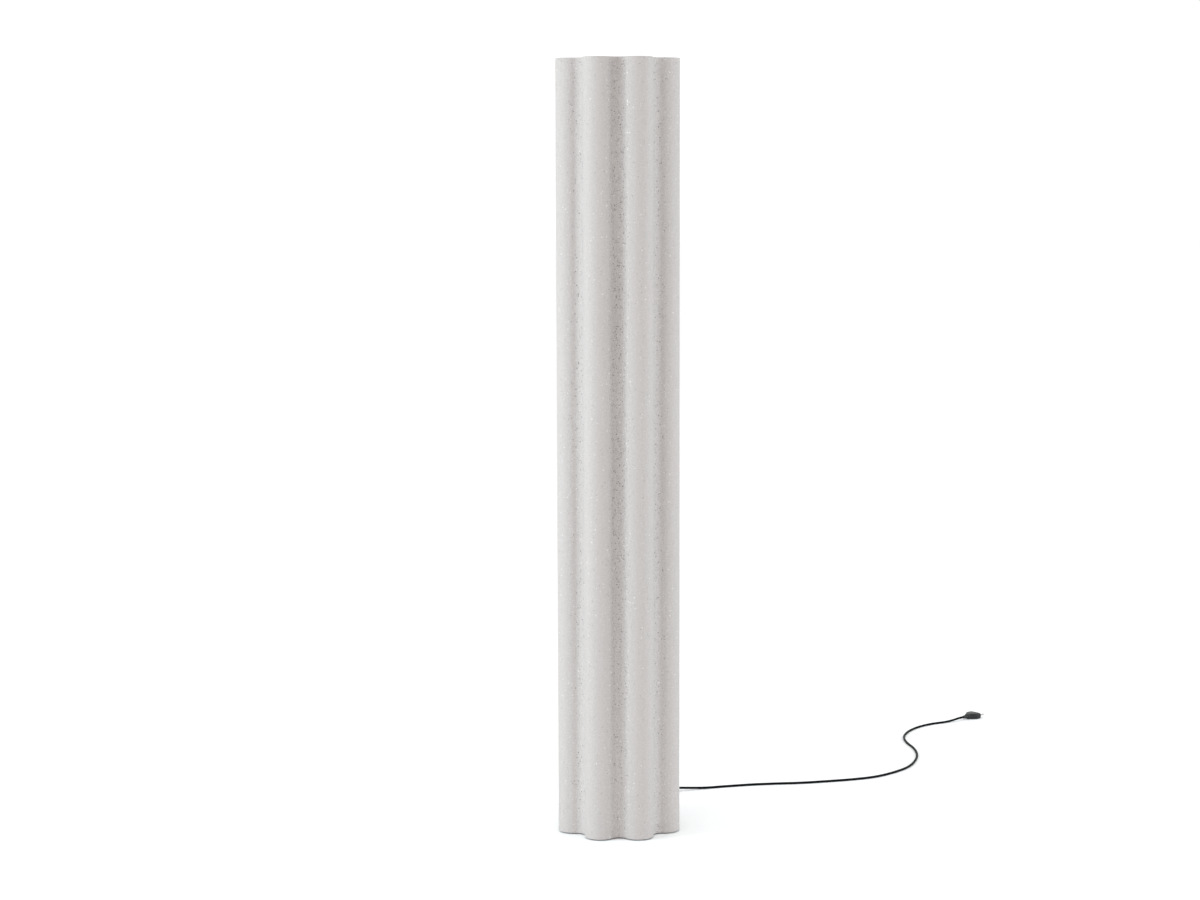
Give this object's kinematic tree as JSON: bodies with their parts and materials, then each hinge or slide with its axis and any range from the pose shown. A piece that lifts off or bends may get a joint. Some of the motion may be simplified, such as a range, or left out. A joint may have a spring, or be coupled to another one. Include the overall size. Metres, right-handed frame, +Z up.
{
  "type": "floor lamp",
  "caption": "Tall column floor lamp with a fluted tube shade over a central pole with screw-in bulbs, on a heavy plate, with a foot switch and plug on its cord.",
  "frame": {"origin": "on the floor, at the middle of the lamp's footprint, without its free cord", "axes": "+Z up along the pole, +Y to the back, where the cord leaves, and +X to the right seen from the front"},
  "size_m": [0.9974, 1.137, 1.5],
  "materials": {
    "shade_resin": "off-white, with a fine crystalline grain",
    "collar_plastic": "smooth matt white",
    "black_steel": "fine matt powder coat",
    "zinc_steel": "bright zinc plate",
    "spring_steel": "drawn wire",
    "black_rubber": "matt",
    "white_ceramic": "unglazed",
    "brass": "stamped",
    "plated_brass": "nickel plated, smooth",
    "grey_plastic": "fine texture",
    "clear_plastic": "smooth",
    "black_plastic": "fine texture",
    "cord_black": "smooth satin sheath",
    "lead_white": "smooth",
    "tie_fabric": "woven hook and loop",
    "bulb_aluminium": "rolled thread",
    "bulb_glass": "clear",
    "filament_ceramic": "phosphor coated"
  },
  "bodies": {
    "stand": {"base_plate": "black_steel", "centre_contacts": "brass", "cord_coil": "cord_black", "cord_from_lamp": "cord_black", "cord_strap": "zinc_steel", "cord_strap_screws": "zinc_steel", "cord_tie": "tie_fabric", "cord_to_plug": "cord_black", "cord_to_switch": "cord_black", "flange_screws": "zinc_steel", "foot_pads": "black_rubber", "foot_screws": "zinc_steel", "holder_barrel_1": "black_plastic", "holder_barrel_2": "black_plastic", "holder_cap_1": "black_plastic", "holder_cap_2": "black_plastic", "holder_inserts": "white_ceramic", "holder_leads": "lead_white", "holder_screw_shell_1": "brass", "holder_screw_shell_2": "brass", "lamp_arm_1": "black_steel", "lamp_arm_2": "black_steel", "lead_splices": "clear_plastic", "nipple_nuts": "zinc_steel", "plug_body": "black_plastic", "plug_pins": "plated_brass", "plug_sleeve": "black_rubber", "pole": "black_steel", "pole_flange": "black_steel", "pole_grommets": "black_rubber", "pole_leads": "lead_white", "set_screws": "zinc_steel", "strain_relief": "black_rubber", "supply_lead": "cord_black", "switch_contact_block": "grey_plastic", "switch_lower_housing": "black_plastic", "switch_screws": "zinc_steel", "switch_sleeves": "black_rubber", "switch_spring": "spring_steel", "switch_upper_housing": "black_plastic", "terminal_block": "clear_plastic", "terminal_box": "grey_plastic", "terminal_lid": "grey_plastic", "terminal_screws": "zinc_steel", "threaded_nipples": "zinc_steel", "top_stud": "zinc_steel"},
    "shade": {"shade": "shade_resin", "lower_collar": "collar_plastic", "upper_collar": "collar_plastic", "shade_spider": "black_steel", "spider_screws": "zinc_steel"},
    "finial": {"finial": "black_steel"},
    "bulb_1": {"bulb_cap_1": "bulb_aluminium", "bulb_globe_1": "bulb_glass", "bulb_filaments_1": "filament_ceramic"},
    "bulb_2": {"bulb_cap_2": "bulb_aluminium", "bulb_globe_2": "bulb_glass", "bulb_filaments_2": "filament_ceramic"},
    "switch_button": {"switch_button": "black_plastic"}
  },
  "joints": [
    {"name": "shade_lift", "type": "slide", "parent": "stand", "child": "shade", "axis": [0, 0, 1], "range_m": [0, 1.48]},
    {"name": "finial_unscrew", "type": "slide", "parent": "shade", "child": "finial", "axis": [0, 0, 1], "range_m": [0, 0.03]},
    {"name": "bulb_1_unscrew", "type": "slide", "parent": "stand", "child": "bulb_1", "axis": [0, 0, 1], "range_m": [0, 0.035]},
    {"name": "bulb_2_unscrew", "type": "slide", "parent": "stand", "child": "bulb_2", "axis": [0, 0, 1], "range_m": [0, 0.035]},
    {"name": "foot_button_press", "type": "slide", "parent": "stand", "child": "switch_button", "axis": [0, 0, -1], "range_m": [0, 0.003], "stiffness_N_per_m": 400, "springref_m": -0.003, "deforming": ["switch_spring"]}
  ]
}
